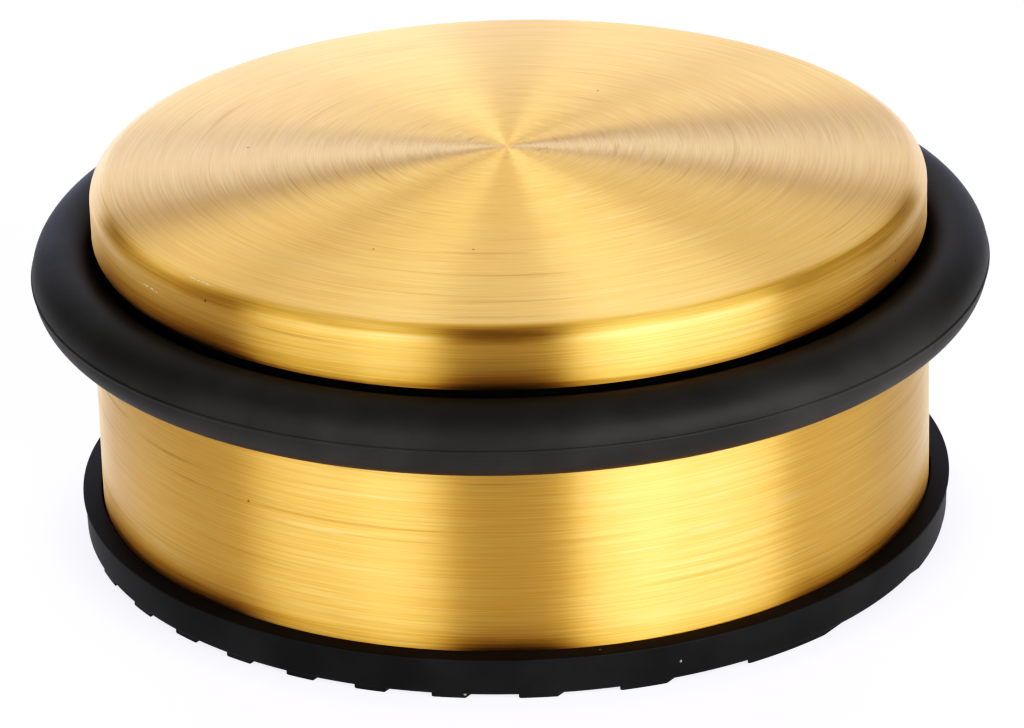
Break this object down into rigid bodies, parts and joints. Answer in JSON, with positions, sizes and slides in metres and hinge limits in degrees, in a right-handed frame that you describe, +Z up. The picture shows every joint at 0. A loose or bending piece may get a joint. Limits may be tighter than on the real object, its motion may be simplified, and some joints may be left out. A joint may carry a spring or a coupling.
{
  "type": "floor door stop",
  "caption": "Heavy round floor door stop: weighted body in brushed gold metal with a rubber bumper ring and a ribbed rubber foot cup.",
  "frame": {"origin": "centre of the underside, on the faces of the ribs that rest on the floor", "axes": "+Z up along the round body's axis; -Y is the side that faces the camera in the picture"},
  "size_m": [0.1028, 0.1028, 0.0422],
  "materials": {
    "brushed_gold": "brushed in circles, gold coloured, satin",
    "cast_weight": "plain casting, hidden",
    "bumper_rubber": "moulded, satin",
    "foot_rubber": "moulded, matt to satin"
  },
  "bodies": {
    "root": {"top_cap": "brushed_gold", "side_band": "brushed_gold", "core_weight": "cast_weight", "bumper_ring": "bumper_rubber", "base_cup": "foot_rubber"}
  },
  "joints": []
}
